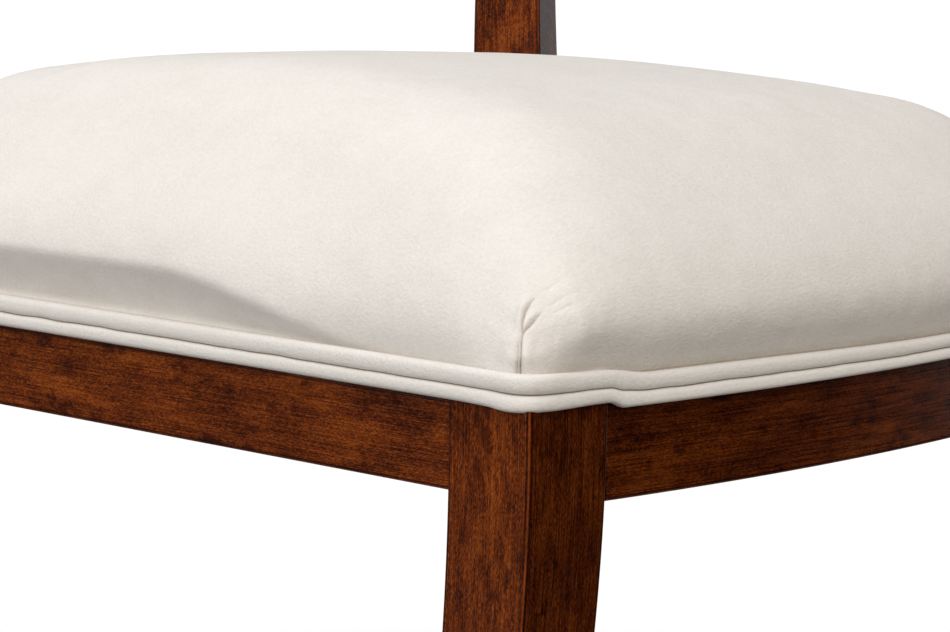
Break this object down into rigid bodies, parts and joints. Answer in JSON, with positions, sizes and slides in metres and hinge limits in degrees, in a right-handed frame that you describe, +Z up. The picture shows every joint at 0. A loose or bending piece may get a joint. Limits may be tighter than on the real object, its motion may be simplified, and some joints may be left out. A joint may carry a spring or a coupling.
{
  "type": "klismos chair",
  "caption": "Upholstered klismos dining chair with sabre legs, S-curved rear posts, a concave crest rail and a crowned velvet seat edged with double welt.",
  "frame": {"origin": "on the floor, under the middle of the chair's bounding box", "axes": "+X to the right as seen by a person standing in front of the chair, +Y to the back, +Z up; the chair faces -Y"},
  "size_m": [0.5092, 0.616, 0.872],
  "materials": {
    "stained_wood": "reddish brown stain under satin lacquer",
    "inner_wood": "bare beech",
    "plywood": "bare plywood",
    "steel": "zinc plated",
    "foam": "open-cell foam",
    "velvet": "short-pile off-white velvet",
    "cambric": "black non-woven cloth",
    "glide_plastic": "hard moulded plastic"
  },
  "bodies": {
    "root": {"back_rail": "stained_wood", "block_screw_back_end_left": "steel", "block_screw_back_end_right": "steel", "block_screw_back_side_left": "steel", "block_screw_back_side_right": "steel", "block_screw_front_end_left": "steel", "block_screw_front_end_right": "steel", "block_screw_front_side_left": "steel", "block_screw_front_side_right": "steel", "corner_block_back_left": "inner_wood", "corner_block_back_right": "inner_wood", "corner_block_front_left": "inner_wood", "corner_block_front_right": "inner_wood", "crest_rail": "stained_wood", "dowel_back_rail_lower_left": "inner_wood", "dowel_back_rail_lower_right": "inner_wood", "dowel_back_rail_upper_left": "inner_wood", "dowel_back_rail_upper_right": "inner_wood", "dowel_crest_lower_left": "inner_wood", "dowel_crest_lower_right": "inner_wood", "dowel_crest_upper_left": "inner_wood", "dowel_crest_upper_right": "inner_wood", "dowel_front_rail_lower_left": "inner_wood", "dowel_front_rail_lower_right": "inner_wood", "dowel_front_rail_upper_left": "inner_wood", "dowel_front_rail_upper_right": "inner_wood", "dowel_side_rail_front_lower_left": "inner_wood", "dowel_side_rail_front_lower_right": "inner_wood", "dowel_side_rail_front_upper_left": "inner_wood", "dowel_side_rail_front_upper_right": "inner_wood", "dowel_side_rail_rear_lower_left": "inner_wood", "dowel_side_rail_rear_lower_right": "inner_wood", "dowel_side_rail_rear_upper_left": "inner_wood", "dowel_side_rail_rear_upper_right": "inner_wood", "dust_cover": "cambric", "front_leg_left": "stained_wood", "front_leg_right": "stained_wood", "front_rail": "stained_wood", "glide_front_left": "glide_plastic", "glide_front_right": "glide_plastic", "glide_rear_left": "glide_plastic", "glide_rear_right": "glide_plastic", "rear_post_left": "stained_wood", "rear_post_right": "stained_wood", "seat_board": "plywood", "seat_cover": "velvet", "seat_foam": "foam", "seat_screw_back_left": "steel", "seat_screw_back_right": "steel", "seat_screw_front_left": "steel", "seat_screw_front_right": "steel", "side_rail_left": "stained_wood", "side_rail_right": "stained_wood", "welt_back": "velvet", "welt_front": "velvet"}
  },
  "joints": []
}
